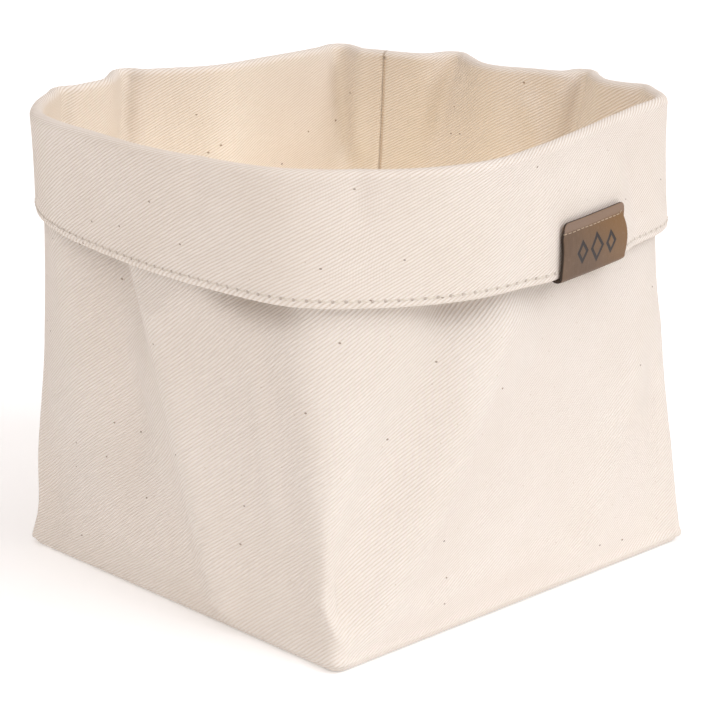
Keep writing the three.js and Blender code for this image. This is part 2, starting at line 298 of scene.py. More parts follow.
def settle(start, rest, frames=45):
    """The cloth's shape once its stretch and stiffness have settled: start is rows x
    columns of points of a tube, rest the same cloth lying unstrained. The foot and the
    rim are held; between them the cloth is drawn only weakly to where it started."""
    rows, cols, _ = start.shape
    obj = mesh_object("settling", rest.reshape(-1, 3), grid_faces(rows, cols).tolist())
    obj.shape_key_add(name="unstrained")
    key = obj.shape_key_add(name="start")
    key.data.foreach_set("co", (start * MM).astype(np.float32).ravel())
    key.value = 1.0
    held = obj.vertex_groups.new(name="held")
    for row in range(rows):
        edge = row < 2 or row > rows - 3
        indices = list(range(row * cols, (row + 1) * cols))
        held.add(indices, 1.0 if edge else PULL_TO_START, "REPLACE")
    modifier = obj.modifiers.new("cloth", "CLOTH")
    cloth = modifier.settings
    cloth.rest_shape_key = obj.data.shape_keys.key_blocks["unstrained"]
    cloth.vertex_group_mass = "held"
    cloth.quality = 6
    cloth.mass = 0.12
    cloth.air_damping = 4.0
    cloth.tension_stiffness = cloth.compression_stiffness = 35.0
    cloth.shear_stiffness = 12.0
    cloth.bending_stiffness = 3.0
    cloth.pin_stiffness = 0.6
    cloth.effector_weights.gravity = 0.2
    modifier.point_cache.frame_start = 1
    modifier.point_cache.frame_end = frames
    scene = bpy.context.scene
    scene.frame_start, scene.frame_end = 1, frames
    for frame_number in range(1, frames + 1):
        scene.frame_set(frame_number)
    evaluated = obj.evaluated_get(bpy.context.evaluated_depsgraph_get())
    settled = np.empty(rows * cols * 3, dtype=np.float32)
    evaluated.data.vertices.foreach_get("co", settled)
    scene.frame_set(1)
    bpy.data.objects.remove(obj)
    return settled.reshape(start.shape).astype(float) / MM


def settled_wall(s, z):
    """The folded wall after settling: the cloth is settled on a coarse grid, and how far
    that moved it is carried over to the fine one."""
    target = folded_wall(s, z)
    coarse_s = np.arange(SETTLE_COLUMNS) / SETTLE_COLUMNS
    coarse_z = np.linspace(z[0], z[-1], SETTLE_ROWS)
    start = folded_wall(coarse_s, coarse_z)
    grid_s, grid_z = np.meshgrid(coarse_s, coarse_z)
    slack = square_loop(grid_s, CLOTH / 2) * (1 + SLACK_ROUND)
    rest = np.concatenate([slack, grid_z[..., None] * (1 + SLACK_UP)], axis=-1)
    moved = settle(start, rest) - start
    row = (z - z[0]) / (z[-1] - z[0]) * (SETTLE_ROWS - 1)
    moved = cubic_rows(moved, row, wrap=False)
    moved = cubic_rows(moved.swapaxes(0, 1), s * SETTLE_COLUMNS, wrap=True).swapaxes(0, 1)
    return target + moved


def cubic_rows(grid, position, wrap):
    """Rows of a grid read between rows, by a Catmull-Rom curve through them."""
    count = len(grid)
    low = np.floor(position).astype(int)
    t = (position - low)[:, None, None]
    p = []
    for k in (-1, 0, 1, 2):
        index = low + k
        p.append(grid[index % count if wrap else np.clip(index, 0, count - 1)])
    slope0, slope1 = (p[2] - p[0]) / 2, (p[3] - p[1]) / 2
    jump = p[2] - p[1]
    bend, twist = 3 * jump - 2 * slope0 - slope1, slope0 + slope1 - 2 * jump
    return p[1] + t * (slope0 + t * (bend + t * twist))


# --------------------------------------------------------------------- mesh construction
def mesh_object(name, vertices, faces, uvs=None, material=None):
    """An object at the origin with its vertices given in millimetres."""
    mesh = bpy.data.meshes.new(name)
    mesh.from_pydata((np.asarray(vertices) * MM).tolist(), [], faces)
    if uvs is not None:
        loop_vertex = np.empty(len(mesh.loops), dtype=np.int32)
        mesh.loops.foreach_get("vertex_index", loop_vertex)
        for layer_name, coords in uvs.items():
            layer = mesh.uv_layers.new(name=layer_name)
            layer.data.foreach_set("uv", np.asarray(coords, np.float32)[loop_vertex].ravel())
    mesh.polygons.foreach_set("use_smooth", [True] * len(mesh.polygons))
    mesh.update()
    obj = bpy.data.objects.new(name, mesh)
    bpy.context.collection.objects.link(obj)
    if material is not None:
        mesh.materials.append(material)
    return obj


def grid_faces(rows, cols, start=0, flip=False):
    """Quads of a grid of vertices whose columns close up into a loop."""
    r, c = np.meshgrid(np.arange(rows - 1), np.arange(cols), indexing="ij")
    a = start + r * cols + c
    b = start + r * cols + (c + 1) % cols
    quads = np.stack([a, b, b + cols, a + cols], axis=-1).reshape(-1, 4)
    return quads[:, ::-1] if flip else quads


def band_shell(name, middle, face, thickness, u, v, hem_up, material):
    """A closed cloth band: middle is rows x columns of points, face the unit direction in
    which one side of the cloth looks. u and v are cloth coordinates in millimetres."""
    rows, cols, _ = middle.shape
    outside = middle + face * thickness / 2
    inside = middle - face * thickness / 2
    vertices = np.vstack([outside.reshape(-1, 3), inside.reshape(-1, 3)])
    count = rows * cols
    faces = [grid_faces(rows, cols), grid_faces(rows, cols, count, flip=True)]
    c = np.arange(cols)
    nxt = (c + 1) % cols
    faces.append(np.stack([nxt, c, count + c, count + nxt], axis=-1))
    top = (rows - 1) * cols
    faces.append(np.stack([top + c, top + nxt, count + top + nxt, count + top + c], axis=-1))
    chord = np.linalg.norm(np.diff(middle[..., :2], axis=1, append=middle[:, :1, :2]), axis=-1)
    run = np.hstack([np.zeros((rows, 1)), np.cumsum(chord, axis=1)])
    run = run[:, :-1] / run[:, -1:] * LOOP
    cloth_uv = np.stack([run, v], axis=-1).reshape(-1, 2) * MM
    hem_uv = np.stack([np.broadcast_to(u, (rows, cols)), hem_up], axis=-1).reshape(-1, 2) * MM
    uvs = {"cloth": np.vstack([cloth_uv] * 2), "hem": np.vstack([hem_uv] * 2)}
    return mesh_object(name, vertices, np.vstack(faces).tolist(), uvs, material)


# ------------------------------------------------------------------------------ materials
class Nodes:
    """Short calls for building a material's node tree."""

    def __init__(self, name):
        self.material = bpy.data.materials.new(name)
        self.material.use_nodes = True
        self.tree = self.material.node_tree
        self.tree.nodes.clear()
        output = self.tree.nodes.new("ShaderNodeOutputMaterial")
        self.shader = self.tree.nodes.new("ShaderNodeBsdfPrincipled")
        self.tree.links.new(self.shader.outputs[0], output.inputs["Surface"])

    def put(self, value, socket):
        if isinstance(value, bpy.types.NodeSocket):
            self.tree.links.new(value, socket)
        else:
            socket.default_value = value

    def math(self, operation, a, b=0.0, c=0.0, clamp=False):
        node = self.tree.nodes.new("ShaderNodeMath")
        node.operation = operation
        node.use_clamp = clamp
        for value, socket in zip((a, b, c), node.inputs):
            self.put(value, socket)
        return node.outputs[0]

    def mix(self, share, a, b):
        node = self.tree.nodes.new("ShaderNodeMix")
        node.data_type = "RGBA"
        self.put(share, node.inputs[0])
        self.put(a, node.inputs[6])
        self.put(b, node.inputs[7])
        return node.outputs[2]

    def uv(self, layer):
        source = self.tree.nodes.new("ShaderNodeUVMap")
        source.uv_map = layer
        split = self.tree.nodes.new("ShaderNodeSeparateXYZ")
        self.tree.links.new(source.outputs[0], split.inputs[0])
        return split.outputs[0], split.outputs[1]

    def vector(self, x, y, z=0.0):
        node = self.tree.nodes.new("ShaderNodeCombineXYZ")
        for value, socket in zip((x, y, z), node.inputs):
            self.put(value, socket)
        return node.outputs[0]

    def stretched(self, u, v, along_u, along_v):
        return self.vector(self.math("MULTIPLY", u, along_u), self.math("MULTIPLY", v, along_v))

    def noise(self, vector, scale, detail=2.0, roughness=0.5):
        node = self.tree.nodes.new("ShaderNodeTexNoise")
        self.put(vector, node.inputs["Vector"])
        node.inputs["Scale"].default_value = scale
        node.inputs["Detail"].default_value = detail
        node.inputs["Roughness"].default_value = roughness
        return node.outputs[0]

    def cells(self, vector, scale):
        node = self.tree.nodes.new("ShaderNodeTexVoronoi")
        node.voronoi_dimensions = "2D"
        self.put(vector, node.inputs["Vector"])
        node.inputs["Scale"].default_value = scale
        return node.outputs["Distance"], node.outputs["Color"]

    def ramp(self, value, low, high):
        """0 below low, 1 above high, smooth between."""
        node = self.tree.nodes.new("ShaderNodeMapRange")
        node.interpolation_type = "SMOOTHSTEP"
        self.put(value, node.inputs[0])
        node.inputs[1].default_value = low
        node.inputs[2].default_value = high
        return node.outputs[0]

    def bump(self, height, distance, normal=None):
        node = self.tree.nodes.new("ShaderNodeBump")
        node.inputs["Distance"].default_value = distance
        node.inputs["Strength"].default_value = 1.0
        self.put(height, node.inputs["Height"])
        if normal is not None:
            self.put(normal, node.inputs["Normal"])
        return node.outputs[0]

    def finish(self, colour, normal, roughness, **constants):
        self.put(colour, self.shader.inputs["Base Color"])
        self.put(roughness, self.shader.inputs["Roughness"])
        if normal is not None:
            self.put(normal, self.shader.inputs["Normal"])
        for key, value in constants.items():
            self.shader.inputs[key.replace("_", " ")].default_value = value
        return self.material


RIB_PITCH = 1.17 * MM
YARN_PITCH = 0.42 * MM
PICK_PITCH = 0.55 * MM
FLECKS_PER_METRE = 46
SPECKS_PER_METRE = 130
FLECK_BROWN = (0.20, 0.105, 0.05, 1)
SPECK_BROWN = (0.42, 0.28, 0.16, 1)
SEAM_SHADE = (0.36, 0.22, 0.10, 1)


def drill_material(name, light, deep, rib_way, rib_rise, stitched):
    """Unbleached cotton drill. rib_way is +1 or -1: which way the ribs climb with u."""
    n = Nodes(name)
    u, v = n.uv("cloth")
    where = n.vector(u, v)
    wander = n.math("MULTIPLY", n.math("SUBTRACT", n.noise(where, 90, 2), 0.5), 0.22)
    climb = n.math("MULTIPLY", u, -rib_way * math.sin(rib_rise) / RIB_PITCH)
    across = n.math("MULTIPLY_ADD", v, math.cos(rib_rise) / RIB_PITCH, climb)
    across = n.math("ADD", across, wander)
    wave = n.math("SINE", n.math("MULTIPLY", across, 2 * math.pi))
    rib = n.math("POWER", n.math("MULTIPLY_ADD", wave, 0.5, 0.5), 0.6)
    # yarns both ways, seen as short steps in each rib
    yarn_wave = n.math("SINE", n.math("MULTIPLY", v, 2 * math.pi / YARN_PITCH))
    pick_wave = n.math("SINE", n.math("MULTIPLY", u, 2 * math.pi / PICK_PITCH))
    yarns = n.math("ADD", yarn_wave, pick_wave)
    slub_u = n.noise(n.stretched(u, v, 60, 1500), 1.0, 2)
    slub_v = n.noise(n.stretched(u, v, 1500, 60), 1.0, 2)
    slub = n.math("MULTIPLY", n.math("ADD", slub_u, slub_v), 0.5)
    fuzz = n.noise(where, 2600, 3, 0.7)
    patch = n.noise(where, 22, 3, 0.6)

    tone = n.math("MULTIPLY_ADD", rib, 1.05, -0.10)
    tone = n.math("MULTIPLY_ADD", n.math("SUBTRACT", slub, 0.5), 0.35, tone)
    tone = n.math("MULTIPLY_ADD", n.math("SUBTRACT", fuzz, 0.5), 0.4, tone)
    tone = n.math("MULTIPLY_ADD", n.math("SUBTRACT", patch, 0.5), 0.5, tone, clamp=True)
    colour = add_flecks(n, u, v, n.mix(tone, deep, light))
    from_seam = n.math("MINIMUM", u, n.math("SUBTRACT", LOOP * MM, u))
    seam = n.math("SUBTRACT", 1.0, n.ramp(from_seam, 0.2 * MM, 0.9 * MM))
    colour = n.mix(n.math("MULTIPLY", seam, 0.5), colour, SEAM_SHADE)

    height = n.math("MULTIPLY_ADD", yarns, 0.16, rib)
    height = n.math("MULTIPLY_ADD", slub, 0.2, height)
    height = n.math("MULTIPLY_ADD", fuzz, 0.4, height)
    if stitched:
        colour, height = add_needle_holes(n, colour, height)
    normal = n.bump(height, 0.21 * MM)
    pucker = n.noise(n.stretched(u, v, 1, 0.45), 55, 3, 0.55)
    normal = n.bump(pucker, 0.5 * MM, normal=normal)
    return n.finish(
        colour, normal, 0.92,
        Sheen_Weight=0.15, Sheen_Roughness=0.55, Specular_IOR_Level=0.2,
    )


def add_flecks(n, u, v, colour):
    """Rare brown bits of seed husk in the cotton, and more of much finer, paler specks."""
    distance, cell = n.cells(n.stretched(u, v, 1, 1.5), FLECKS_PER_METRE)
    chance = n.math("GREATER_THAN", cell, 0.71)
    size = n.math("MULTIPLY", n.noise(n.vector(u, v), 300, 1), 0.034)
    spot = n.math("SUBTRACT", 1.0, n.ramp(n.math("SUBTRACT", distance, size), 0.0, 0.016))
    colour = n.mix(n.math("MULTIPLY", n.math("MULTIPLY", spot, chance), 0.8), colour, FLECK_BROWN)
    distance, cell = n.cells(n.vector(u, v), SPECKS_PER_METRE)
    chance = n.math("GREATER_THAN", cell, 0.79)
    spot = n.math("SUBTRACT", 1.0, n.ramp(distance, 0.02, 0.055))
    return n.mix(n.math("MULTIPLY", n.math("MULTIPLY", spot, chance), 0.34), colour, SPECK_BROWN)


def add_needle_holes(n, colour, height):
    """Small pits where the hem's topstitching enters the cloth: sunk by the bump, and darkened with
    painted shade.
    """
    u, up = n.uv("hem")
    step = n.math("FRACT", n.math("MULTIPLY_ADD", u, 1 / (STITCH * MM), 0.5))
    beside = n.math("MULTIPLY", n.math("SUBTRACT", step, 0.5), STITCH)
    above = n.math("MULTIPLY", n.math("SUBTRACT", up, TOPSTITCH_UP * MM), 1 / MM)
    squared = n.math("MULTIPLY_ADD", above, above, n.math("MULTIPLY", beside, beside))
    pit = n.math("SUBTRACT", 1.0, n.ramp(squared, 0.05, 0.55))
    row = n.math("SUBTRACT", 1.0, n.ramp(n.math("ABSOLUTE", above), 0.15, 1.1))
    # painted shade: the cloth's colour is darkened in each needle hole
    colour = n.mix(n.math("MULTIPLY", pit, 0.38), colour, (0.30, 0.19, 0.12, 1))
    height = n.math("MULTIPLY_ADD", pit, -2.5, height)
    height = n.math("MULTIPLY_ADD", row, -0.8, height)
    return colour, height


def thread_material(name, colour):
    n = Nodes(name)
    coords = n.tree.nodes.new("ShaderNodeTexCoord")
    split = n.tree.nodes.new("ShaderNodeSeparateXYZ")
    n.tree.links.new(coords.outputs["Object"], split.inputs[0])
    slant = n.math("ADD", n.math("ADD", split.outputs[0], split.outputs[1]), split.outputs[2])
    twist = n.math("SINE", n.math("MULTIPLY", slant, 2 * math.pi / (0.5 * MM)))
    fuzz = n.noise(coords.outputs["Object"], 3000, 2)
    darker = tuple(c * 0.8 for c in colour[:3]) + (1,)
    tone = n.math("MULTIPLY_ADD", fuzz, 0.5, n.math("MULTIPLY_ADD", twist, 0.2, 0.45), clamp=True)
    return n.finish(
        n.mix(tone, darker, colour), n.bump(twist, 0.05 * MM), 0.55,
        Sheen_Weight=0.2, Specular_IOR_Level=0.4,
    )


def leather_material(name):
    """Brown leather: u runs across the label, v down its face, both in millimetres."""
    n = Nodes(name)
    u, v = n.uv("label")
    where = n.vector(u, v)
    streaks = n.noise(n.stretched(u, v, 1400, 110), 1.0, 4, 0.65)
    pores = n.noise(where, 2300, 3, 0.6)
    cloud = n.noise(where, 70, 3, 0.6)
    clouded = n.math("MULTIPLY_ADD", cloud, 0.5, -0.15)
    tone = n.math("MULTIPLY_ADD", streaks, 0.7, clouded, clamp=True)
    colour = n.mix(tone, (0.075, 0.042, 0.023, 1), (0.205, 0.122, 0.068, 1))
    golden = n.ramp(n.math("MULTIPLY_ADD", u, -1.0, v), -8 * MM, 42 * MM)
    colour = n.mix(n.math("MULTIPLY", golden, 0.8), colour, (0.235, 0.118, 0.036, 1))
    row = LABEL_UP - LABEL_STITCH_DOWN
    above = n.ramp(v, row * MM, (row + 0.7) * MM)
    colour = n.mix(n.math("MULTIPLY", above, 0.75), colour, (0.25, 0.165, 0.115, 1))
    worn = n.ramp(n.noise(where, 420, 3, 0.7), 0.55, 0.75)
    colour = n.mix(n.math("MULTIPLY", worn, 0.25), colour, (0.27, 0.18, 0.125, 1))
    colour, stamped = add_stamp(n, u, v, colour)
    height = n.math("MULTIPLY_ADD", pores, 0.5, n.math("MULTIPLY_ADD", streaks, 0.5, stamped))
    return n.finish(
        colour, n.bump(height, 0.18 * MM), n.math("MULTIPLY_ADD", pores, 0.25, 0.42),
        Specular_IOR_Level=0.42,
    )


def add_stamp(n, u, v, colour):
    """A plain row of three lozenges pressed into the label, darker than the leather."""
    row_height, apart = 9.0, 10.5
    lozenge = None
    for i, half in enumerate((5.0, 6.2, 5.0)):
        across = n.math("ABSOLUTE", n.math("SUBTRACT", u, (i - 1) * apart * MM))
        down = n.math("ABSOLUTE", n.math("SUBTRACT", v, row_height * MM))
        size = n.math("MULTIPLY", n.math("MULTIPLY_ADD", across, 1.25, down), 1 / MM)
        solid = n.math("SUBTRACT", 1.0, n.ramp(size, half - 0.2, half + 0.15))
        hollow = n.ramp(size, half - 2.6, half - 2.2)
        shape = n.math("MULTIPLY", solid, hollow)
        lozenge = shape if lozenge is None else n.math("MAXIMUM", lozenge, shape)
    patchy = n.noise(n.vector(u, v), 900, 2)
    ink = n.math("MULTIPLY", lozenge, n.math("MULTIPLY_ADD", patchy, 0.3, 0.8, clamp=True))
    colour = n.mix(ink, colour, (0.018, 0.014, 0.014, 1))
    return colour, n.math("MULTIPLY", lozenge, -1.2)


def leather_edge_material(name):
    n = Nodes(name)
    coords = n.tree.nodes.new("ShaderNodeTexCoord")
    fibres = n.noise(coords.outputs["Object"], 1500, 4, 0.7)
    colour = n.mix(fibres, (0.012, 0.008, 0.006, 1), (0.060, 0.038, 0.026, 1))
    return n.finish(colour, n.bump(fibres, 0.12 * MM), 0.7, Specular_IOR_Level=0.3)


OUTER_CLOTH = drill_material(
    "outer_drill", light=(0.93, 0.865, 0.80, 1), deep=(0.79, 0.69, 0.59, 1),
    rib_way=-1, rib_rise=math.radians(32), stitched=False,
)
LINING_CLOTH = drill_material(
    "lining_drill", light=(0.95, 0.88, 0.81, 1), deep=(0.75, 0.645, 0.54, 1),
    rib_way=1, rib_rise=math.radians(27), stitched=True,
)
SEWING_THREAD = thread_material("sewing_thread", (0.88, 0.80, 0.69, 1))
LABEL_THREAD = thread_material("label_thread", (0.60, 0.45, 0.31, 1))
LEATHER_FACE = leather_material("label_leather")
LEATHER_EDGE = leather_edge_material("label_cut_edge")


# ------------------------------------------------------------------------- cloth pieces
SEAM_COLUMNS = np.array([-3.2, -2.2, -1.5, -1.0, -0.6, -0.3, 0.3, 0.6, 1.0, 1.5, 2.2, 3.2])
S = np.unique(np.r_[np.arange(416) / 416, (SEAM_COLUMNS / LOOP) % 1])
COLUMNS = len(S)
BODY_ROWS = np.r_[np.linspace(3, 20, 14), np.linspace(22, ROLL_CENTRE_Z, 86)]
WALL = settled_wall(S, BODY_ROWS)
CUFF_ROWS = np.r_[np.linspace(0, 0.86, 34), np.linspace(0.88, 1, 12)]  # rim 0, hem 1
FAR_FROM_HEM = 30.0  # what the wall's rows say, so that no needle holes show on them


def stand_off(s, z):
    """How far the cuff stands off beyond its roll at height z."""
    down = (ROLL_CENTRE_Z - z) / (ROLL_CENTRE_Z - hem_z(s))
    close = 1 - np.exp(-((away_from(s, CUFF_LIFTED) / CUFF_FLAT_REACH) ** 2))
    flare = CUFF_FLARE * close * np.maximum(down, 0) ** 1.5
    beside = 1 - smooth((away_from(s, LABEL_MIDDLE) - LABEL_HALF - 0.004) / 0.02)
    below = smooth((ROLL_CENTRE_Z - z) / (cuff_depth(s) - LABEL_UP - 6))
    return flare + LABEL_BULGE * beside * below


def layer_rows(inside, hem_up, curl):
    """Middle points, facing directions, cloth lengths and heights above the hem for one
    cloth: up the wall, over the rim, down the cuff. inside is how far in it lies from the
    outer cloth; curl adds last rows at the hem: height above it, step sideways and the
    cloth's facing."""
    middle, face = [], []

    def add(points, face_n, face_z):
        outward = loop_normals(points[None, :, :2])[0]
        middle.append(points)
        face.append(np.column_stack([outward * face_n, np.full(COLUMNS, face_z)]))

    radius = ROLL + inside
    for points in WALL:
        outward = loop_normals(points[None, :, :2])[0]
        seam = SEAM_GROOVE * np.exp(-((away_from(S, 0) * LOOP / SEAM_HALF) ** 2))
        shift = (-inside + (seam if inside else -seam))[:, None]
        add(points + np.column_stack([outward * shift, np.zeros(COLUMNS)]), 1.0, 0.0)
    for a in np.linspace(0, math.pi, 15)[1:-1]:
        over = off_wall(S, ROLL_CENTRE_Z, ROLL - radius * math.cos(a))
        add(over + [0, 0, radius * math.sin(a)], math.cos(a), -math.sin(a))
    for t in CUFF_ROWS:
        z = ROLL_CENTRE_Z + (hem_z(S) + hem_up - ROLL_CENTRE_Z) * t
        add(off_wall(S, z, ROLL + radius + stand_off(S, z)), -1.0, 0.0)
    for up, sideways, face_n, face_z in curl:
        z = hem_z(S) + up
        add(off_wall(S, z, ROLL + radius + stand_off(S, hem_z(S)) + sideways), face_n, face_z)
    middle, face = np.array(middle), np.array(face)
    face /= np.linalg.norm(face, axis=-1, keepdims=True)
    steps = np.linalg.norm(np.diff(middle, axis=0), axis=-1)
    v = np.vstack([np.zeros(COLUMNS), np.cumsum(steps, axis=0)])
    v += BODY_ROWS[-1] - v[len(WALL) - 1]
    v[: len(WALL)] = BODY_ROWS[:, None]
    hem_up_rows = middle[..., 2] - hem_z(S)
    hem_up_rows[: len(WALL)] = FAR_FROM_HEM
    return middle, face, v, hem_up_rows


# The foot of the outer wall: how far in and how high the cloth turned in under the bag
# lies, then the turn up into the wall.
TURNED_IN = [(ALLOWANCE, 1.3), (5.4, 1.3), (4.2, 0.7)]
FOOT_Z = 0.35
FOOT_TURN = 3.0


def outer_wall():
    middle, face, v, hem_rows = layer_rows(0.0, 1.5, [])
    rows, facing = [], []
    normal = loop_normals(square_loop(S, CLOTH / 2)[None])[0]
    foot = [(inset, z, 0.0) for inset, z in TURNED_IN]
    for a in np.linspace(0.15, 1.35, 6):
        inset = CLOTH / 2 + FOOT_TURN * (1 - math.sin(a))
        foot.append((inset, FOOT_Z + FOOT_TURN * (1 - math.cos(a)), a))
    for inset, z, a in foot:
        rows.append(np.column_stack([square_loop(S, inset), np.full(COLUMNS, z)]))
        facing.append(np.column_stack([normal * math.sin(a), np.full(COLUMNS, -math.cos(a))]))
    count = len(rows)
    middle = np.concatenate([rows, middle])
    face = np.concatenate([facing, face])
    v = np.concatenate([[v[0] - (count - k) for k in range(count)], v])
    hem_rows = np.concatenate([np.repeat(hem_rows[:1], count, axis=0), hem_rows])
    return band_shell("outer_wall_cloth", middle, face, CLOTH, S * LOOP, v, hem_rows, OUTER_CLOTH)


def lining_wall():
    curl = [(0.9, -0.15, -0.8, 0.6), (0.4, -0.6, -0.3, 1.0), (0.3, -1.15, 0.0, 1.0)]
    middle, face, v, hem_rows = layer_rows(LAYER_STEP, 1.7, curl)
    return band_shell("lining_wall_cloth", middle, face, CLOTH, S * LOOP, v, hem_rows, LINING_CLOTH)


# A panel's place in the cloth, clear of the wall's side seam at 0 and at LOOP, and how
# far from any hem its needle holes are put out of the way.
PANEL_UV = np.array([LOOP / 3, 0]) * MM
NO_HEM = 1.0


def panel(name, inset, z, material):
    """A flat square cloth panel, closed: rings of points drawn in from its edge."""
    rows, cols = 40, 104
    edge = square_loop(np.arange(cols) / cols, inset)
    shares = 1 - np.arange(rows) / rows
    rings = edge[None] * shares[:, None, None]
    vertices, faces = [], []
    for side, height in enumerate((z + CLOTH, z)):
        start = len(vertices)
        layer = np.concatenate([rings, np.full((rows, cols, 1), height)], axis=-1)
        vertices.extend(layer.reshape(-1, 3).tolist())
        vertices.append([0, 0, height])
        faces.extend(grid_faces(rows, cols, start, flip=side == 1).tolist())
        last = start + (rows - 1) * cols
        centre = start + rows * cols
        for c in range(cols):
            tri = [last + c, last + (c + 1) % cols, centre]
            faces.append(tri if side == 0 else tri[::-1])
    below = rows * cols + 1
    for c in range(cols):
        nxt = (c + 1) % cols
        faces.append([nxt, c, below + c, below + nxt])
    vertices = np.array(vertices)
    uv = vertices[:, :2] * MM + PANEL_UV
    return mesh_object(name, vertices, faces, {"cloth": uv, "hem": uv + NO_HEM}, material)


THREAD_END = 0.55  # a cut end is this much thinner
STITCH_GAP = 0.13  # the share of a stitch that is sunk in its hole, at each end
STITCH_LIFT = 0.22
STITCH_SUNK = 0.06
STITCH_WANDER = 0.06
SEAM_STITCH = 2.6
TAIL_LENGTH = 3.0


def thread(name, paths, outward, radius, material, closed=False):
    """Round thread along paths of points, each path its own length, or loop if closed."""
    sides = 6
    paths, outward = np.asarray(paths, float), np.asarray(outward, float)
    count, steps, _ = paths.shape
    if closed:
        along = np.roll(paths, -1, axis=1) - np.roll(paths, 1, axis=1)
    else:
        along = np.gradient(paths, axis=1)
    along /= np.linalg.norm(along, axis=-1, keepdims=True)
    side = np.cross(along, outward)
    side /= np.linalg.norm(side, axis=-1, keepdims=True)
    up = np.cross(side, along)
    thick = np.full(steps, radius)
    if not closed:
        thick[[0, -1]] = radius * THREAD_END
    a = np.arange(sides) / sides * 2 * math.pi
    ring = side[:, :, None] * np.cos(a)[:, None] + up[:, :, None] * np.sin(a)[:, None]
    vertices = paths[:, :, None] + ring * thick[:, None, None]
    faces = []
    for i in range(count):
        start = i * steps * sides
        faces += grid_faces(steps, sides, start, flip=True).tolist()
        last = start + (steps - 1) * sides
        if closed:
            for k in range(sides):
                nxt = (k + 1) % sides
                faces.append([last + nxt, last + k, start + k, start + nxt])
        else:
            faces.append([start + k for k in range(sides)])
            faces.append([last + k for k in reversed(range(sides))])
    return mesh_object(name, vertices.reshape(-1, 3), faces, None, material)


def plumb(s, z):
    return s - LABEL_LEAN * (z - hem_z(LABEL_MIDDLE))


def stitch_row(name, holes, height, face_n, way, material, radius=THREAD / 2):
    """Single stitches between needle holes given as shares of the loop. face_n gives the
    cloth's face, way is +1 where the stitches lie outside it and -1 where behind it."""
    f = np.linspace(STITCH_GAP, 1 - STITCH_GAP, 7)
    s = holes[:-1, None] * (1 - f) + holes[1:, None] * f
    z = height(s)
    wander = np.random.default_rng(5).normal(0, STITCH_WANDER, (len(s), 1))
    arch = np.sin((f - STITCH_GAP) / (1 - 2 * STITCH_GAP) * math.pi) ** 0.6
    n = face_n(s, z) + way * (STITCH_LIFT * arch - STITCH_SUNK)
    points = off_wall(s, z + wander, n)
    flat = plan_outward(s, z)
    outward = np.concatenate([flat, np.zeros(flat.shape[:-1] + (1,))], axis=-1) * way
    return thread(name, points, outward, radius, material)


def loop_thread(name, z, n, radius):
    """A thread once round the bag at height z, n outside the wall; both may be functions."""
    s = np.arange(200) / 200
    height = z(s) if callable(z) else np.full(len(s), float(z))
    offset = n(s, height) if callable(n) else n
    points = off_wall(s, height, offset)
    flat = plan_outward(s, height)
    outward = np.column_stack([flat, np.zeros(len(s))])
    return thread(name, points[None], outward[None], radius, SEWING_THREAD, closed=True)


def side_seam_thread(name, inside, low, high):
    """The stitching of a side seam: short lengths showing in the groove of the seam."""
    rows = np.arange(low, high, 0.5)
    turns = rows / SEAM_STITCH
    point = np.stack([np.interp(rows, BODY_ROWS, WALL[:, 0, k]) for k in range(2)], axis=-1)
    outward = plan_outward(np.zeros(len(rows)), rows)
    in_and_out = 0.12 * np.sin(turns * 2 * math.pi)
    side = np.sin(turns * math.pi) * 0.15
    across = np.stack([outward[:, 1], -outward[:, 0]], axis=-1)
    shift = inside + in_and_out
    path = np.column_stack([point + outward * shift[:, None] + across * side[:, None], rows])
    facing = np.column_stack([outward, np.zeros(len(rows))])
    return thread(name, path[None], facing[None], 0.2, SEWING_THREAD)


def tail_path():
    """The cut end of the label's thread, standing off beyond its last stitch."""
    f = np.linspace(0, 1, 9)
    s = label_holes[0] - f * TAIL_LENGTH / LOOP
    z = label_row(s) + 0.9 * np.sin(f * 3.5)
    n = LABEL_FRONT + LEATHER / 2 + stand_off(s, z) + 0.2 - 0.8 * f ** 2
    flat = plan_outward(s, z)
    return off_wall(s, z, n)[None], np.column_stack([flat, np.zeros(len(f))])[None]


def hem_height(up):
    return lambda s: hem_z(s) + up


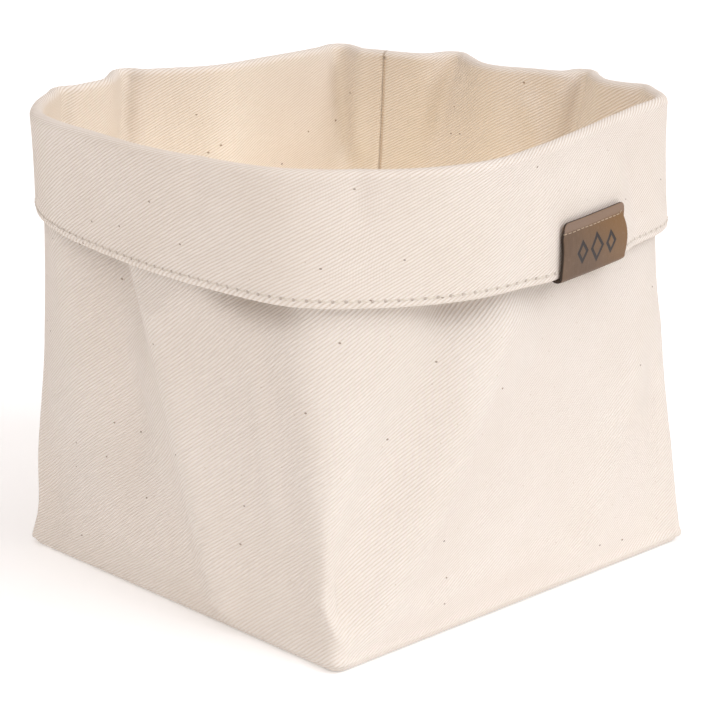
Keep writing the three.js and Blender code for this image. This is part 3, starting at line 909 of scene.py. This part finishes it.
def label_surface():
    """Points of the label's middle, rows along the strip by columns across it, with the
    way each faces, its distance from the nearest edge and its label coordinates."""
    edges = np.array([0, 0.15, 0.4, 0.8, 1.4, 2.0])
    inner = np.linspace(-20, 20, 40)
    across = np.unique(np.r_[edges - LABEL_WIDTH / 2, inner, LABEL_WIDTH / 2 - edges])
    s = LABEL_MIDDLE + across / LOOP
    hem = hem_z(s)
    inside_edge = LABEL_WIDTH / 2 - np.abs(across)
    short = np.clip(LABEL_CORNER - inside_edge, 0, LABEL_CORNER)
    top = LABEL_UP - (LABEL_CORNER - np.sqrt(LABEL_CORNER ** 2 - short ** 2))
    front, back = LABEL_FRONT, LABEL_BACK
    radius = (front - back) / 2
    points, face, height = [], [], []

    def leaf(up, n, way):
        z = hem + up
        at = off_wall(plumb(s, z), z, n + stand_off(s, z))
        points.append(at)
        flat = plan_outward(plumb(s, z), z)
        face.append(np.column_stack([flat * way, np.zeros(len(s))]))
        height.append(up)

    belly = LABEL_BELLY * (0.65 - 0.35 * across / across[-1])
    for f in np.r_[0, 0.01, 0.03, 0.06, np.linspace(0.1, 1, 20)]:
        below = np.clip((f - 0.22) / 0.78, 0, 1)
        above = 0.5 * max(0.2 - f, 0) / 0.2
        bulge = belly * math.sin(math.pi * below ** 0.8)
        leaf(top * (1 - f) + LABEL_FOLD_UP * f, front + above + bulge, 1)
    off = stand_off(s, hem_z(s))
    for a in np.linspace(0, math.pi, 13)[1:-1]:
        z = np.full(len(s), hem + LABEL_FOLD_UP)
        at = off_wall(plumb(s, z), z, off + (front + back) / 2 + radius * math.cos(a))
        points.append(at - [0, 0, radius * 0.8 * math.sin(a)])
        flat = plan_outward(plumb(s, z), z)
        face.append(np.column_stack([flat * math.cos(a), np.full(len(s), -math.sin(a))]))
        height.append(np.full(len(s), LABEL_FOLD_UP - radius * math.sin(a)))
    for f in np.linspace(0, 1, 10):
        leaf(LABEL_FOLD_UP * (1 - f) + top * f, back, -1)
    return np.array(points), np.array(face), np.array(height), across, inside_edge


def leather_label():
    points, face, height, across, inside_edge = label_surface()
    rows, cols, _ = points.shape
    worn = 1 - 0.2 * np.exp(-inside_edge / 0.25)
    ends = np.minimum(np.arange(rows), rows - 1 - np.arange(rows))
    thick = LEATHER / 2 * worn[None, :] * (1 - 0.45 * np.exp(-ends / 0.8))[:, None]
    half = face * thick[..., None]
    vertices = np.vstack([(points + half).reshape(-1, 3), (points - half).reshape(-1, 3)])
    r, c = np.meshgrid(np.arange(rows - 1), np.arange(cols - 1), indexing="ij")
    a = (r * cols + c).ravel()
    outer = np.stack([a, a + 1, a + cols + 1, a + cols], axis=-1)
    count = rows * cols
    along_first = np.arange(cols - 1)
    down_right = np.arange(rows - 1) * cols + cols - 1
    along_last = (rows - 1) * cols + np.arange(cols - 1, 0, -1)
    up_left = np.arange(rows - 1, 0, -1) * cols
    edge_run = np.r_[along_first, down_right, along_last, up_left]
    after = np.roll(edge_run, -1)
    rim = np.stack([after, edge_run, count + edge_run, count + after], axis=-1)
    faces = np.vstack([outer, (outer + count)[:, ::-1], rim])
    uv = np.stack([np.broadcast_to(across, (rows, cols)), height], axis=-1).reshape(-1, 2) * MM
    uvs = {"label": np.vstack([uv] * 2)}
    obj = mesh_object("leather_label", vertices, faces.tolist(), uvs, LEATHER_FACE)
    obj.data.materials.append(LEATHER_EDGE)
    index = np.zeros(len(faces), dtype=np.int32)
    index[-len(rim):] = 1
    obj.data.polygons.foreach_set("material_index", index)
    return obj


def place(piece, node, slot):
    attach(piece, "root")
    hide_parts(node)
    return piece


CUFF_FACE = ROLL * 2 + LAYER_STEP + CLOTH / 2
CUFF_BACK = ROLL * 2 - CLOTH / 2
BASE_INSET = 4.4
FLOOR_INSET = 2.8
HEM_JOIN_UP = 2.6
HIDDEN_THREAD = 0.15  # radius of the rows between the cloths, drawn thin to stay out of them
LABEL_THREAD_RADIUS = 0.2
LABEL_HOLES = 15
hem_holes = np.arange(STITCHES + 1) / STITCHES
label_holes = LABEL_MIDDLE + np.linspace(-1, 1, LABEL_HOLES) * (LABEL_HALF - 1.5 / LOOP)
label_row = hem_height(LABEL_UP - LABEL_STITCH_DOWN)


def on_cuff(n):
    """How far outside the wall a thing lies: n, and what the cuff stands off there."""
    return lambda s, z: n + stand_off(s, z)


def hem_stitches(name, n, way):
    row = stitch_row(name, hem_holes, hem_height(TOPSTITCH_UP), on_cuff(n), way, SEWING_THREAD)
    place(row, name, "thread")


def label_stitches(name, n, way):
    radius = LABEL_THREAD_RADIUS
    row = stitch_row(name, label_holes, label_row, on_cuff(n), way, LABEL_THREAD, radius)
    place(row, name, "thread")


def hidden_row(name, z, n):
    place(loop_thread(name, z, n, HIDDEN_THREAD), name, "thread")


def side_seam(name, inside, low, high):
    place(side_seam_thread(name, inside, low, high), name, "thread")


outer = place(outer_wall(), "outer_wall", "outer_cloth")
lining = place(lining_wall(), "lining_wall", "lining_cloth")
base = place(panel("outer_base_cloth", BASE_INSET, 0.0, OUTER_CLOTH), "outer_base", "outer_cloth")
floor_panel = panel("lining_base_cloth", FLOOR_INSET, FLOOR_PANEL_Z, LINING_CLOTH)
floor_cloth = place(floor_panel, "lining_base", "lining_cloth")
hem_stitches("hem_needle_thread", CUFF_FACE, 1)
hem_stitches("hem_bobbin_thread", CUFF_BACK, -1)
hidden_row("hem_join_thread", hem_height(HEM_JOIN_UP), on_cuff((CUFF_FACE + CUFF_BACK) / 2))
label_stitches("label_needle_thread", LABEL_FRONT + LEATHER / 2, 1)
label_stitches("label_bobbin_thread", LABEL_BACK - LEATHER / 2, -1)
side_seam("outer_side_seam_thread", -0.75, 6, ROLL_CENTRE_Z - 2)
side_seam("lining_side_seam_thread", -1.1, 8, ROLL_CENTRE_Z)
hidden_row("outer_base_seam_thread", 2.0, -1.0)
hidden_row("lining_base_seam_thread", 4.4, -2.6)
place(thread("label_thread_tail", *tail_path(), 0.16, LABEL_THREAD), "label_needle_thread", "thread")
place(leather_label(), "leather_label", "leather")


# --------------------------------------------------------------- stage, light and camera
def make_floor():
    half = 6.0 / MM
    low = -0.05
    corners = [(-half, -half, low), (half, -half, low), (half, half, low), (-half, half, low)]
    n = Nodes("studio_floor")
    material = n.finish(
        (0.96, 0.96, 0.96, 1), None, 0.9,
        Specular_IOR_Level=0.1, Emission_Color=(1, 1, 1, 1), Emission_Strength=0.20,
    )
    mesh_object("studio_floor", corners, [[0, 1, 2, 3]], None, material)


# Name, direction it comes from, softness, power and colour.
SUNS = [
    ("right", (0.75, -0.5, 0.43), 40, 0.18, (0.91, 0.955, 1.0)),
    ("left", (-0.62, -0.36, 0.69), 38, 0.66, (1.0, 0.985, 0.97)),
    ("key", (0.20, -0.75, 0.62), 34, 1.16, (0.90, 0.945, 1.0)),
    ("overhead", (0.05, -0.1, 1.0), 60, 0.68, (1.0, 0.99, 0.97)),
]


def sun_light(name, towards, softness, power, colour):
    """Even light from far off; softness is the angle that the lamp fills, in degrees."""
    data = bpy.data.lights.new(name, "SUN")
    data.angle = math.radians(softness)
    data.energy = power
    data.color = colour
    light = bpy.data.objects.new(name, data)
    light.rotation_euler = Vector(towards).to_track_quat("Z", "Y").to_euler()
    bpy.context.collection.objects.link(light)


def point_light(name, location, radius, power, colour):
    """A soft lamp that shines all round and isn't itself seen."""
    data = bpy.data.lights.new(name, "POINT")
    data.shadow_soft_size = radius
    data.energy = power
    data.color = colour
    light = bpy.data.objects.new(name, data)
    light.location = location
    light.visible_camera = False
    bpy.context.collection.objects.link(light)


def make_world(colour, strength):
    world = bpy.data.worlds.new("studio_world")
    world.use_nodes = True
    background = world.node_tree.nodes["Background"]
    background.inputs[0].default_value = colour
    background.inputs[1].default_value = strength
    bpy.context.scene.world = world
    bpy.context.scene.view_settings.view_transform = "Standard"


CAMERA_AZIMUTH = math.radians(-42.09)
CAMERA_ELEVATION = math.radians(17.16)
CAMERA_DISTANCE = 1.05
CAMERA_ROLL = math.radians(-1.24)
CAMERA_LENS = 124.1
AIM_SIDEWAYS, AIM_HEIGHT = 0.0041, 0.0817


def make_camera():
    a, e = CAMERA_AZIMUTH, CAMERA_ELEVATION
    back = Vector((math.sin(a) * math.cos(e), -math.cos(a) * math.cos(e), math.sin(e)))
    right = Vector((math.cos(a), math.sin(a), 0))
    up = back.cross(right)
    aim = right * AIM_SIDEWAYS + Vector((0, 0, AIM_HEIGHT))
    rolled_right = right * math.cos(CAMERA_ROLL) + up * math.sin(CAMERA_ROLL)
    rolled_up = up * math.cos(CAMERA_ROLL) - right * math.sin(CAMERA_ROLL)
    data = bpy.data.cameras.new("camera")
    data.sensor_width = 36
    data.lens = CAMERA_LENS
    camera = bpy.data.objects.new("camera", data)
    turn = Matrix((rolled_right, rolled_up, back)).transposed().to_4x4()
    camera.matrix_world = Matrix.Translation(aim + back * CAMERA_DISTANCE) @ turn
    bpy.context.collection.objects.link(camera)
    bpy.context.scene.camera = camera


make_floor()
make_world((1.0, 0.90, 0.875, 1), 0.435)
for sun in SUNS:
    sun_light(*sun)
# Stands in for the light that the pale cloth passes back and forth inside the bag.
point_light("inside_fill", (0, 0, 0.11), 0.05, 0.155, (1.0, 0.89, 0.64))
make_camera()
